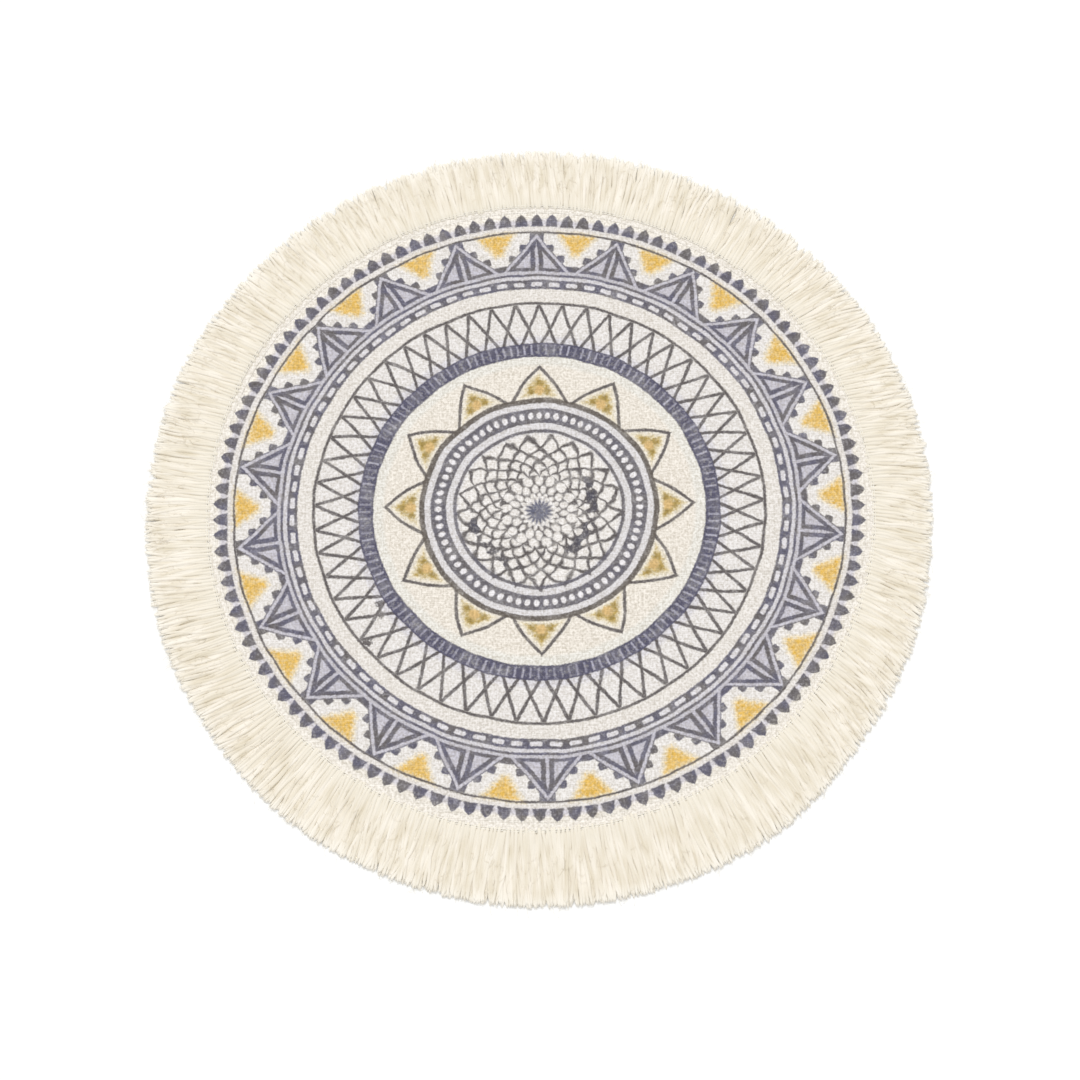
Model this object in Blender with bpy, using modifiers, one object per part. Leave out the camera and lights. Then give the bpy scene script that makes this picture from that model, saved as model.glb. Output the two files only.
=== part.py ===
"""A round printed cotton placemat with a yarn fringe round its edge, lying flat on a table.

Metres, +Z up. The origin is the middle of the cloth on the table top. +Y is the twelve o'clock side,
where one point of the printed star lies, and angles run clockwise from it as seen from above.
"""

import math
import random
from collections import namedtuple

import bmesh
import bpy

MM = 0.001

# Driving sizes, in metres.
CLOTH_RADIUS = 158.3 * MM
CLOTH_THICKNESS = 2.0 * MM
EDGE_ROUNDING = 0.5 * MM
PIECE_GAP = 0.3 * MM
HEADING_WIDTH = 4.2 * MM
HEADING_THICKNESS = 2.0 * MM
OUTLINE_POINTS = 144

# The cut edge is a little out of round: waves round the rim, their height and where they start.
Wave = namedtuple("Wave", "count height start_deg")
RIM_WAVES = (
    Wave(2, 0.5 * MM, 25),
    Wave(3, 0.4 * MM, 110),
    Wave(7, 0.2 * MM, 60),
)

# The fringe: how many locks of yarn, and their section, flat below and ridged above.
LOCK_COUNT = 240
LOCK_WIDTH = 3.5 * MM
LOCK_HEIGHT = 1.8 * MM
ROOT_DEPTH = 1.6 * MM
LEAN_POWER = 1.3
SEED = 11

# How far one lock strays from its neighbours: at its root, at its tip, in lean and in bow.
ROOT_STRAY = 0.1 * MM
TIP_STRAY = 1.8 * MM
LEAN_STRAY_DEG = 1.3
BOW_STRAY = 0.2 * MM

# Where the fringe reaches from the middle, and how it leans clockwise, at each hour of a clock face.
Fringe = namedtuple("Fringe", "reach lean_deg")
FRINGE_AT_HOUR = {
    12: Fringe(192.8 * MM, -4),
    1: Fringe(191.5 * MM, -7),
    2: Fringe(190.4 * MM, 11),
    3: Fringe(189.3 * MM, 9),
    4: Fringe(193.0 * MM, 19),
    5: Fringe(198.2 * MM, 6),
    6: Fringe(198.9 * MM, -2),
    7: Fringe(197.2 * MM, -6),
    8: Fringe(192.6 * MM, 9),
    9: Fringe(190.0 * MM, 2),
    10: Fringe(190.8 * MM, -4),
    11: Fringe(191.3 * MM, 3),
}

# Along a lock: the share of its length, how high its underside is, and its size there.
Station = namedtuple("Station", "share lift size")
STATIONS = (
    Station(0.00, 0.4 * MM, 0.80),
    Station(0.16, 0.0, 0.94),
    Station(0.40, 0.0, 1.00),
    Station(0.66, 0.0, 0.96),
    Station(0.87, 0.0, 0.80),
    Station(1.00, 0.0, 0.48),
)

# Colour, roughness and metallic value of each material.
Finish = namedtuple("Finish", "colour roughness metallic")
PRINTED_COTTON = Finish((0.80, 0.77, 0.72), 0.95, 0.0)
FRINGE_COTTON = Finish((0.90, 0.83, 0.70), 0.95, 0.0)


def clear_scene():
    for thing in list(bpy.data.objects):
        bpy.data.objects.remove(thing)


def new_collection(name):
    collection = bpy.data.collections.new(name)
    bpy.context.scene.collection.children.link(collection)
    return collection


def material(name, finish):
    made = bpy.data.materials.new(name)
    made.use_nodes = True
    shader = made.node_tree.nodes["Principled BSDF"]
    shader.inputs["Base Color"].default_value = (*finish.colour, 1.0)
    shader.inputs["Roughness"].default_value = finish.roughness
    shader.inputs["Metallic"].default_value = finish.metallic
    made.diffuse_color = (*finish.colour, 1.0)
    return made


def outward(turn, distance):
    """The point at a distance from the middle, at an angle clockwise from +Y."""
    return distance * math.sin(turn), distance * math.cos(turn)


def rim_wave(turn):
    """How far the cut edge stands off a true circle at an angle."""
    return sum(
        wave.height * math.cos(wave.count * turn + math.radians(wave.start_deg))
        for wave in RIM_WAVES
    )


def fringe_at(turn):
    """The fringe's reach and lean at an angle, eased between the hours of its table."""
    hours = turn / math.tau * len(FRINGE_AT_HOUR)
    before = FRINGE_AT_HOUR[int(hours) or 12]
    after = FRINGE_AT_HOUR[int(hours) + 1]
    share = hours % 1
    share = share * share * (3 - 2 * share)
    reach = before.reach + share * (after.reach - before.reach)
    lean_deg = before.lean_deg + share * (after.lean_deg - before.lean_deg)
    return reach, math.radians(lean_deg)


def add_rim_spline(curve, radius):
    """One closed outline, parallel to the cloth's own edge."""
    spline = curve.splines.new("POLY")
    spline.points.add(OUTLINE_POINTS - 1)
    for number, point in enumerate(spline.points):
        turn = math.tau * number / OUTLINE_POINTS
        point.co = (*outward(turn, radius + rim_wave(turn)), 0.0, 1.0)
    spline.use_cyclic_u = True


def flat_curve(name, radii, thickness, collection):
    """A flat piece inside the outermost outline and outside the others, standing on z = 0."""
    curve = bpy.data.curves.new(name, "CURVE")
    curve.dimensions = "2D"
    curve.fill_mode = "BOTH"
    curve.extrude = thickness / 2
    for radius in radii:
        add_rim_spline(curve, radius)
    made = bpy.data.objects.new(name, curve)
    made.location.z = thickness / 2
    collection.objects.link(made)
    return made


def as_mesh(curve_object, collection):
    """The curve made a mesh of the same name and place, with its caps welded to its sides."""
    bpy.context.view_layer.update()
    graph = bpy.context.evaluated_depsgraph_get()
    mesh = bpy.data.meshes.new_from_object(curve_object.evaluated_get(graph))
    shape = bmesh.new()
    shape.from_mesh(mesh)
    bmesh.ops.remove_doubles(shape, verts=shape.verts, dist=1e-6)
    bmesh.ops.recalc_face_normals(shape, faces=shape.faces)
    shape.to_mesh(mesh)
    shape.free()
    name = curve_object.name
    made = bpy.data.objects.new(name, mesh)
    made.matrix_world = curve_object.matrix_world.copy()
    bpy.data.objects.remove(curve_object)
    made.name = name
    collection.objects.link(made)
    return made


def lock_section(collection):
    """A lock's section: a triangle that stands on its base, so that the lock rests level."""
    curve = bpy.data.curves.new("lock_section", "CURVE")
    curve.dimensions = "2D"
    spline = curve.splines.new("POLY")
    spline.points.add(2)
    corners = (
        (-LOCK_WIDTH / 2, 0.0),
        (LOCK_WIDTH / 2, 0.0),
        (0.0, LOCK_HEIGHT),
    )
    for point, corner in zip(spline.points, corners):
        point.co = (*corner, 0.0, 1.0)
    spline.use_cyclic_u = True
    made = bpy.data.objects.new("lock_section", curve)
    made.hide_render = True
    made.display_type = "WIRE"
    collection.objects.link(made)
    return made


def lock_points(number, stray):
    """The points along the underside of one lock, from inside the heading to its tip."""
    turn = math.tau * (number + 0.5) / LOCK_COUNT
    reach, lean = fringe_at(turn)
    root = CLOTH_RADIUS + PIECE_GAP + HEADING_WIDTH - ROOT_DEPTH + rim_wave(turn)
    turn += stray.uniform(-ROOT_STRAY, ROOT_STRAY) / root
    length = reach + stray.uniform(-TIP_STRAY, TIP_STRAY) - root
    lean += math.radians(stray.uniform(-LEAN_STRAY_DEG, LEAN_STRAY_DEG))
    bow = stray.uniform(-BOW_STRAY, BOW_STRAY)
    out_x, out_y = outward(turn, 1.0)
    points = []
    for station in STATIONS:
        along = root + length * station.share
        aside = length * math.tan(lean) * station.share**LEAN_POWER
        aside += bow * math.sin(math.pi * station.share)
        points.append(
            (
                out_x * along + out_y * aside,
                out_y * along - out_x * aside,
                station.lift,
            )
        )
    return points


def fringe_locks(helpers):
    """All the locks as one mesh of separate tapering bodies, ready to be joined to the heading."""
    curve = bpy.data.curves.new("fringe_locks", "CURVE")
    curve.dimensions = "3D"
    curve.twist_mode = "Z_UP"
    curve.bevel_mode = "OBJECT"
    curve.bevel_object = lock_section(helpers)
    curve.use_fill_caps = True
    stray = random.Random(SEED)
    for number in range(LOCK_COUNT):
        spline = curve.splines.new("POLY")
        spline.points.add(len(STATIONS) - 1)
        for point, station, place in zip(
            spline.points, STATIONS, lock_points(number, stray)
        ):
            point.co = (*place, 1.0)
            point.radius = station.size
    rough = bpy.data.objects.new("fringe_locks", curve)
    helpers.objects.link(rough)
    made = as_mesh(rough, helpers)
    made.hide_render = True
    made.display_type = "WIRE"
    return made


def printed_cloth(parts):
    """The round cloth, one flat solid, with its top and bottom edges slightly rounded."""
    rough = flat_curve("printed_cloth", [CLOTH_RADIUS], CLOTH_THICKNESS, parts)
    made = as_mesh(rough, parts)
    rounding = made.modifiers.new("edge_rounding", "BEVEL")
    rounding.width = EDGE_ROUNDING
    rounding.segments = 2
    rounding.limit_method = "ANGLE"
    made.data.materials.append(material("printed_cotton", PRINTED_COTTON))
    return made


def fringe(parts, helpers):
    """The fringe: a woven heading round the cloth, and the locks of yarn that grow from it."""
    inner = CLOTH_RADIUS + PIECE_GAP
    rough = flat_curve("fringe", [inner + HEADING_WIDTH, inner], HEADING_THICKNESS, parts)
    made = as_mesh(rough, parts)
    joined = made.modifiers.new("locks", "BOOLEAN")
    joined.operation = "UNION"
    joined.solver = "EXACT"
    joined.object = fringe_locks(helpers)
    made.data.materials.append(material("fringe_cotton", FRINGE_COTTON))
    return made


def main():
    clear_scene()
    parts = new_collection("fringed_placemat")
    helpers = new_collection("helpers")
    printed_cloth(parts)
    fringe(parts, helpers)


main()
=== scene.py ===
"""The looks of a round printed cotton placemat with a yarn fringe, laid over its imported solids.

Metres, +Z up. The origin is the middle of the cloth on the table top. +Y is twelve o'clock, where one point
of the printed star lies, and angles turn clockwise from it as seen from above. The print is drawn by formula
on the cloth's own place, in millimetres from the middle, so it holds still from every side.
"""

import math
import random
from collections import namedtuple

import bmesh
import bpy
from mathutils import Matrix, Vector, noise


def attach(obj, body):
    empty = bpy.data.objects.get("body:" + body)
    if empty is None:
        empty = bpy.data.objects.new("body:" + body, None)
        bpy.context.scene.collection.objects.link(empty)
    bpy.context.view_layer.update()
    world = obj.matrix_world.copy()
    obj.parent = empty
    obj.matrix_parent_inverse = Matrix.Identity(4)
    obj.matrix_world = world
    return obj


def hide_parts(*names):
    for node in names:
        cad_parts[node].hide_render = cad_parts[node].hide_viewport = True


MM = 0.001

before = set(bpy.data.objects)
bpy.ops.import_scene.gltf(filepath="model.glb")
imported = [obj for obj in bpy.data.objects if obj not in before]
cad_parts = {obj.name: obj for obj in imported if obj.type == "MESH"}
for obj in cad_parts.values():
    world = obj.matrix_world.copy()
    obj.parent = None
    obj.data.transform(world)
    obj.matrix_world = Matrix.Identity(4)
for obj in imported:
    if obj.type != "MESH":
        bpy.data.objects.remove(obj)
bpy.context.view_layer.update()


# --- Sizes ---------------------------------------------------------------------------------------------

# The cloth lies in its solid's box, a little thinner, so that the fringe's heading can lap over its edge.
CLOTH_RADIUS = 158.3 * MM
CLOTH_TOP = 1.75 * MM
CLOTH_THICKNESS = 1.4 * MM
CLOTH_ROUNDING = 0.3 * MM
CLOTH_STEPS_ROUND = 240
CLOTH_STEPS_OUT = 46
CLOTH_STEPS_EDGE = 6
CLOTH_WELD = 0.002 * MM
# Its plain underside has one ring of faces for this many on its face.
CLOTH_RINGS_UNDER = 3

# How the cloth rises and sinks as it lies: in broad swells and small ones, how wide and how high each is.
Swell = namedtuple("Swell", "width height seed")
BROAD_SWELL = Swell(75.0 * MM, 0.22 * MM, 0.3)
SMALL_SWELL = Swell(24.0 * MM, 0.07 * MM, 7.1)

# The cut edge is a little out of round: waves round the rim, their height and where they start.
Wave = namedtuple("Wave", "count height start_deg")
RIM_WAVES = (
    Wave(2, 0.5 * MM, 25),
    Wave(3, 0.4 * MM, 110),
    Wave(7, 0.2 * MM, 60),
)

# The woven heading that the fringe hangs from, lapped over the cloth's edge.
HEADING_INNER = 157.85 * MM
HEADING_OUTER = 163.0 * MM
HEADING_TOP = 1.85 * MM

# Where the fringe reaches from the middle, how it leans clockwise, and how ragged its tips are, at each hour
# of a clock face.
Fringe = namedtuple("Fringe", "reach lean_deg ragged")
FRINGE_AT_HOUR = {
    12: Fringe(192.4 * MM, -4, 2.6 * MM),
    1: Fringe(191.6 * MM, -7, 2.4 * MM),
    2: Fringe(190.0 * MM, 11, 2.2 * MM),
    3: Fringe(189.2 * MM, 9, 2.0 * MM),
    4: Fringe(192.0 * MM, 19, 2.0 * MM),
    5: Fringe(198.2 * MM, 6, 1.5 * MM),
    6: Fringe(198.6 * MM, -2, 1.0 * MM),
    7: Fringe(196.4 * MM, -6, 1.0 * MM),
    8: Fringe(192.0 * MM, 9, 1.5 * MM),
    9: Fringe(190.0 * MM, 2, 1.8 * MM),
    10: Fringe(190.9 * MM, -4, 2.2 * MM),
    11: Fringe(191.9 * MM, 3, 2.6 * MM),
}

# The layers of yarn in the fringe, from the table up: how many yarns, their half width, where they leave
# the heading, how high they lie there and at their tips, and how far they stray: together with their
# neighbours, and each by itself. The lowest lies even, so that no floor shows through.
Layer = namedtuple("Layer", "name count half_width root root_height tip_height drawn spread_deg seed")
LAYERS = (
    Layer("fringe_yarns_low", 900, 0.92 * MM, 162.2 * MM, 1.05 * MM, 0.45 * MM, 0.7 * MM, 0.8, 3),
    Layer("fringe_yarns_middle", 860, 0.90 * MM, 161.6 * MM, 1.40 * MM, 0.62 * MM, 1.6 * MM, 2.0, 5),
    Layer("fringe_yarns_upper", 760, 0.86 * MM, 160.8 * MM, 1.72 * MM, 0.84 * MM, 2.2 * MM, 3.0, 6),
    Layer("fringe_yarns_top", 520, 0.80 * MM, 160.0 * MM, 2.00 * MM, 1.06 * MM, 2.8 * MM, 4.2, 8),
)

# Along a yarn: the share of its length, how far it has come down from root to tip height, and its fullness.
Station = namedtuple("Station", "share drop fullness")
STATIONS = (
    Station(0.00, 0.0, 0.62),
    Station(0.05, 0.0, 0.96),
    Station(0.14, 0.2, 1.02),
    Station(0.26, 0.5, 1.02),
    Station(0.40, 0.8, 1.05),
    Station(0.54, 0.95, 1.08),
    Station(0.67, 1.0, 1.08),
    Station(0.79, 1.0, 1.02),
    Station(0.90, 1.0, 0.92),
    Station(0.96, 1.0, 0.72),
    Station(1.00, 1.0, 0.26),
)

# The section of a yarn: how high it is for its width, and how many sides it has. Hairs and threads are round
# and have fewer.
YARN_FLATNESS = 0.4
YARN_SIDES = 8
ROUND = 1.0
FINE_SIDES = 4
STRAND_WELD = 0.001 * MM
# How far a yarn strays from its even place in the row, in parts of the step from one to the next.
SPACING_STRAY = 0.25
# How far a yarn's root dips into the heading, and over what share of the yarn's length.
ROOT_SINK = 0.5 * MM
ROOT_SINK_SHARE = 0.05
# How far a root strays in or out, and the power by which a yarn's lean grows along it.
ROOT_STRAY = 1.0 * MM
LEAN_POWER = 1.3
# The width of a tuft of yarns that are drawn aside together, how many broad tufts there are for each of
# these, and how much further those draw their yarns.
TUFT_WIDTH = 5.5 * MM
BROAD_TUFTS_FOR_EACH = 0.35
BROAD_TUFT_STRENGTH = 1.3
# How far a yarn waves, how many times, and how much higher than its layer its tip may lie.
YARN_WAVE = 0.5 * MM
YARN_WAVE_COUNTS = (0.7, 1.5)
YARN_LIFT = (-0.04 * MM, 0.22 * MM)
# How far its tip curls aside, from what share of its length, how finely that changes round the fringe, and
# how far single yarns stray from it.
TIP_CURL = 2.0 * MM
TIP_CURL_FROM = 0.55
TIP_CURL_CHANGES = 60
TIP_CURL_STRAY = 0.25
# How far its tip falls short of the fringe's reach or passes it, in parts of the raggedness there: by itself,
# and with its neighbours, and how finely that changes round the fringe.
TIP_STRAY = (-1.2, 0.6)
TIP_STRAY_SHARED = 0.7
TIP_STRAY_CHANGES = 26
# The name under which the fringe's pieces keep how far out each of their points lies.
SHARE_NAME = "share_of_reach"

# Short fine fibres: how many, how far past the heading and the tips they start, how thick and long they are,
# how high they start, how they rise or fall from point to point, how far they turn from the yarns in radians,
# and how many points each has.
HAIR_COUNT = 2600
HAIR_PAST_HEADING = 3.0 * MM
HAIR_PAST_TIPS = 0.3 * MM
HAIR_HALF_WIDTH = 0.07 * MM
HAIR_LENGTH = (2.5 * MM, 6.5 * MM)
HAIR_HEIGHT = (0.9 * MM, 1.9 * MM)
HAIR_CLIMB = (-0.35 * MM, 0.25 * MM)
HAIR_LOWEST = 0.3 * MM
HAIR_TURN = 0.5
HAIR_POINTS = 4
HAIR_SEED = 21

# Two rows of thread that bind the yarns' roots along the heading: how far out each runs, how thick it is, how
# long a stitch is, how high it lies on the heading, how far it sways aside and rises in each stitch, and how
# many points a stitch has.
BINDING_RADII = (161.2 * MM, 162.1 * MM)
BINDING_HALF_WIDTH = 0.24 * MM
BINDING_STITCH = 1.5 * MM
BINDING_LIFT = 0.12 * MM
BINDING_SWAY = 0.12 * MM
BINDING_RISE = 0.1 * MM
BINDING_POINTS = 4

# The weave's yarns, from the middle of one to the middle of the next.
YARN_PITCH_MM = 1.04

# In metres, far past what the camera sees.
FLOOR_HALF_SIZE = 6.0

# The light: an even bright room, and one broad soft light from far away, a little before twelve o'clock.
ROOM_BRIGHTNESS = 0.86
KEY_TILT_DEG = 42
KEY_TURN_DEG = -12
KEY_STRENGTH = 1.1
KEY_SOFTNESS_DEG = 30

# The photo's view, measured from the rings of the print.
CAMERA_TURN = math.radians(2.9)
CAMERA_TILT = math.radians(21.02)
CAMERA_ROLL = math.radians(-2.9)
CAMERA_OFFSET = Vector((0.4 * MM, -15.2 * MM, 1757.4 * MM))
CAMERA_LENS_MM = 121.2
CAMERA_SENSOR_MM = 36.0
CAMERA_FAR_END = 20.0


# --- Numbers that vary over a surface --------------------------------------------------------------------


class Field:
    """A number that varies over a surface. Arithmetic on fields adds Math nodes to their material."""

    def __init__(self, tree, socket):
        self.tree = tree
        self.socket = socket

    def worked(self, operation, *values, clamp=False):
        node = self.tree.nodes.new("ShaderNodeMath")
        node.operation = operation
        node.use_clamp = clamp
        for slot, value in zip(node.inputs, values):
            if isinstance(value, Field):
                self.tree.links.new(value.socket, slot)
            else:
                slot.default_value = value
        return Field(self.tree, node.outputs[0])

    def __add__(self, other):
        return self.worked("ADD", self, other)

    def __sub__(self, other):
        return self.worked("SUBTRACT", self, other)

    def __rsub__(self, other):
        return self.worked("SUBTRACT", other, self)

    def __mul__(self, other):
        return self.worked("MULTIPLY", self, other)

    def __pow__(self, other):
        return self.worked("POWER", self, other)

    def __abs__(self):
        return self.worked("ABSOLUTE", self)

    __radd__ = __add__
    __rmul__ = __mul__

    def sine(self):
        return self.worked("SINE", self)

    def cosine(self):
        return self.worked("COSINE", self)

    def more_of(self, other):
        return self.worked("MAXIMUM", self, other)

    def less_of(self, other):
        return self.worked("MINIMUM", self, other)

    def above(self, level):
        return self.worked("GREATER_THAN", self, level)

    def clamped(self):
        return self.worked("ADD", self, 0.0, clamp=True)

    def back_and_forth(self, reach):
        return self.worked("PINGPONG", self, reach)


def clockwise_turn(x, y):
    """The angle of a place, clockwise from +Y."""
    return x.worked("ARCTAN2", x, y)


def length_of(x, y):
    return (x * x + y * y) ** 0.5


def largest(fields):
    """The largest of several fields, which joins the shapes that they draw."""
    result = fields[0]
    for field in fields[1:]:
        result = result.more_of(field)
    return result


def softly_largest(fields, reach):
    """As largest, but with the corners where shapes meet filled in a little, as wet ink fills them."""
    result = fields[0]
    for field in fields[1:]:
        result = result.worked("SMOOTH_MAX", result, field, reach)
    return result


def smallest(fields):
    """The smallest of several fields, which keeps what all their shapes share."""
    result = fields[0]
    for field in fields[1:]:
        result = result.less_of(field)
    return result


# --- Materials -------------------------------------------------------------------------------------------


def dye(red, green, blue):
    """A colour as a screen shows it, 0 to 255, as the linear colour that a material takes."""
    linear = [
        (part / 255 / 12.92) if part <= 10 else ((part / 255 + 0.055) / 1.055) ** 2.4
        for part in (red, green, blue)
    ]
    return (*linear, 1.0)


CREAM_CLOTH = dye(234, 229, 220)
SHADED_CLOTH = dye(222, 216, 205)
# The cloth's tone runs from CROWN_TINT on paler yarn crowns to GAP_SHADE on darker yarns, and as painted
# shade in the weave's gaps.
GAP_SHADE = dye(221, 217, 210)
CROWN_TINT = (1.045, 1.04, 1.035, 1.0)
SLATE_INK = dye(98, 97, 116)
IRON_INK = dye(105, 101, 103)
PURPLE_INK = dye(84, 83, 107)
BROWN_INK = dye(103, 96, 90)
COLLAR_INK = dye(109, 106, 112)
HEART_INK = dye(97, 100, 121)
RUN_INK = dye(76, 75, 89)
LINE_INK = dye(95, 90, 91)
STROKE_LAVENDER = dye(180, 179, 198)
GOLD_INK = dye(231, 189, 94)
PALE_GOLD_INK = dye(240, 219, 166)
SUN_INK = dye(194, 168, 100)
PALE_SUN_INK = dye(235, 224, 192)
AMBER_INK = dye(224, 190, 132)
OLIVE_INK = dye(160, 137, 74)
LAVENDER_WASH = dye(199, 197, 209)
# The fringe's and the binding thread's creams. The darker ones, YARN_SHADED and THREAD_SHADED, are what their
# random tone and their painted streak shade lean to.
YARN_CREAM = dye(243, 236, 223)
YARN_SHADED = dye(224, 214, 193)
ROOT_CREAM = dye(235, 228, 213)
THREAD_SHADED = dye(236, 230, 214)
# A light cream: the binding thread's own colour, and painted light on the fringe's tips.
THREAD_CREAM_AND_TIP_LIGHT = dye(250, 246, 237)
FLOOR_WHITE = dye(252, 252, 251)

MATT_SPECULAR = 0.2
SHEEN_ROUGHNESS = 0.6
CLOTH_ROUGHNESS = 0.92
CLOTH_SHEEN = 0.08
YARN_ROUGHNESS = 0.9
YARN_SHEEN = 0.15
# The relief of the weave: the share of it that is yarns and that is thick and thin places in them, how long
# those are in mm, how deep it all is in mm, and how strong.
WEAVE_SHARE = 0.8
SLUB_SHARE = 0.5
SLUB_LENGTH_MM = 1.6
WEAVE_DEPTH_MM = 0.28
WEAVE_STRENGTH = 0.55
# The fringe's soft streaks, which are painted shade between its tufts: their width in mm, measured at this
# distance from the middle in mm, and how much shorter the fringe counts along its yarns, which draws them
# out.
STREAK_WIDTH_MM = 2.6
STREAK_MEASURED_AT_MM = 165.0
STREAK_DRAWN_OUT = 0.16
FLUFF_WIDTH_MM = 0.6
FLUFF_DEPTH_MM = 0.12
FLUFF_STRENGTH = 0.3
YARN_CLOUD_WIDTH_MM = 9
# The shares of the fringe's reach up to which its roots are tinted, and from which its tips are made paler
# with painted light.
ROOT_TINT_TO = 0.26
TIP_LIGHT_FROM = 0.8
TINT_SHARPNESS = 4.0
TINT_STRENGTH = 0.75


def new_material(name, roughness, sheen=0.0):
    """A matt cloth-like material, with its shader's own settings, and its node tree."""
    material = bpy.data.materials.new(name)
    material.use_nodes = True
    shader = material.node_tree.nodes["Principled BSDF"]
    shader.inputs["Roughness"].default_value = roughness
    shader.inputs["Specular IOR Level"].default_value = MATT_SPECULAR
    shader.inputs["Sheen Weight"].default_value = sheen
    shader.inputs["Sheen Roughness"].default_value = SHEEN_ROUGHNESS
    return material, material.node_tree, shader


def surface_place(tree):
    """The surface's own place, as a vector in millimetres."""
    where = tree.nodes.new("ShaderNodeTexCoord")
    scaled = tree.nodes.new("ShaderNodeVectorMath")
    scaled.operation = "SCALE"
    scaled.inputs["Scale"].default_value = 1 / MM
    tree.links.new(where.outputs["Object"], scaled.inputs[0])
    return scaled.outputs[0]


def parts_of(tree, vector):
    """The x, y and z of a vector, as fields."""
    split = tree.nodes.new("ShaderNodeSeparateXYZ")
    tree.links.new(vector, split.inputs[0])
    return [Field(tree, socket) for socket in split.outputs]


def vector_of(tree, *fields):
    """A vector made of up to three fields."""
    joined = tree.nodes.new("ShaderNodeCombineXYZ")
    for field, slot in zip(fields, joined.inputs):
        tree.links.new(field.socket, slot)
    return joined.outputs[0]


def mottle(tree, vector, grain_mm, shift=0.0, detail=1.0):
    """Soft random patches about grain_mm across, from 0 to 1. Another shift gives other patches."""
    moved = tree.nodes.new("ShaderNodeVectorMath")
    moved.operation = "ADD"
    moved.inputs[1].default_value = (shift, shift, shift)
    tree.links.new(vector, moved.inputs[0])
    pattern = tree.nodes.new("ShaderNodeTexNoise")
    pattern.inputs["Scale"].default_value = 1 / grain_mm
    pattern.inputs["Detail"].default_value = detail
    tree.links.new(moved.outputs[0], pattern.inputs["Vector"])
    return Field(tree, pattern.outputs["Factor" if "Factor" in pattern.outputs else "Fac"])


def either_side(patches, reach):
    """Random patches, from 0 to 1, as a number to both sides of 0 by half the reach."""
    return (patches - 0.5) * reach


def multiplied(tree, first, second):
    """One colour socket times another."""
    mix = tree.nodes.new("ShaderNodeMix")
    mix.data_type = "RGBA"
    mix.blend_type = "MULTIPLY"
    mix.inputs["Factor"].default_value = 1.0
    tree.links.new(first, mix.inputs[6])
    tree.links.new(second, mix.inputs[7])
    return mix.outputs[2]


def blended(tree, amount, first, second):
    """A colour between two colours or colour sockets, by an amount from 0 to 1."""
    mix = tree.nodes.new("ShaderNodeMix")
    mix.data_type = "RGBA"
    tree.links.new(amount.socket, mix.inputs["Factor"])
    for slot, colour in ((mix.inputs[6], first), (mix.inputs[7], second)):
        if isinstance(colour, bpy.types.NodeSocket):
            tree.links.new(colour, slot)
        else:
            slot.default_value = colour
    return mix.outputs[2]


def rounded_box(aside, up, half_aside, half_up, corner):
    """The depth inside a rectangle with round corners."""
    over_aside = (abs(aside) - (half_aside - corner)).more_of(0.0)
    over_up = (abs(up) - (half_up - corner)).more_of(0.0)
    return corner - length_of(over_aside, over_up)


def add_bump(tree, shader, height, depth_mm, strength):
    bump = tree.nodes.new("ShaderNodeBump")
    bump.inputs["Strength"].default_value = strength
    bump.inputs["Distance"].default_value = depth_mm * MM
    tree.links.new(height.socket, bump.inputs["Height"])
    tree.links.new(bump.outputs["Normal"], shader.inputs["Normal"])


def plain_weave(x, y):
    """The height, 0 to 1, of a cloth where each yarn goes over and under its neighbours in turn."""
    along_x = (x * (math.pi / YARN_PITCH_MM)).sine()
    along_y = (y * (math.pi / YARN_PITCH_MM)).sine()
    warp_on_top = (along_x * along_y).above(0.0)
    crown_x = abs(along_x)
    crown_y = abs(along_y)
    top_yarn = warp_on_top * crown_x + (1.0 - warp_on_top) * crown_y
    return top_yarn * 0.5 + crown_x * crown_y * 0.5


def add_weave_relief(tree, shader, place_mm, weave):
    """The relief of a cloth's yarns, which have thick and thin places."""
    slub = mottle(tree, place_mm, SLUB_LENGTH_MM, 70, detail=2)
    add_bump(tree, shader, weave * WEAVE_SHARE + slub * SLUB_SHARE, WEAVE_DEPTH_MM, WEAVE_STRENGTH)


# --- The print -------------------------------------------------------------------------------------------

# A place on the print: its distance from the middle in mm, and its turn from twelve o'clock in radians.
Place = namedtuple("Place", "radius turn")

# Each drawing function below gives the depth inside its shape, in mm or in softer steps: above 0 is inked,
# and below 0 is bare.

# The print lies a little round to one side: a steady turn, and a turn that comes and goes once a round.
PRINT_TURN = math.radians(-0.7)
PRINT_SWING = math.radians(1.68)
PRINT_SWING_FROM = math.radians(72.6)
# The border is turned a little more than the rest.
BORDER_TURN = math.radians(-0.55)

Band = namedtuple("Band", "inner outer")

# The rows of overlapping petals in the middle flower, from the inmost: how far out their points and the
# notches between them lie, in mm, how round they are, from 1, straight-sided, up, and how many there are.
Petals = namedtuple("Petals", "point notch roundness count")
FLOWER_ROWS = (
    Petals(22.4, 18.4, 1.6, 21),
    Petals(26.1, 22.2, 1.6, 21),
    Petals(29.6, 26.0, 1.4, 21),
    Petals(33.4, 29.4, 1.2, 21),
    Petals(39.4, 33.4, 1.05, 21),
)
# Inside them, rings of bare oval pebbles on faint ink: how far out in mm, and their half sizes in mm.
Pebbles = namedtuple("Pebbles", "at half_width half_height")
PEBBLE_RINGS = (
    Pebbles(8.4, 1.1, 1.5),
    Pebbles(12.0, 1.65, 2.3),
    Pebbles(16.3, 2.25, 2.6),
)
PEBBLE_COUNT = 17
PEBBLE_GROUND = Band(8.0, 18.9)
PEBBLE_SHARPNESS = 0.7
PEBBLE_INK_DEPTH = 0.3
# The flower was drawn a little low.
FLOWER_DOWN = 1.7
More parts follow.
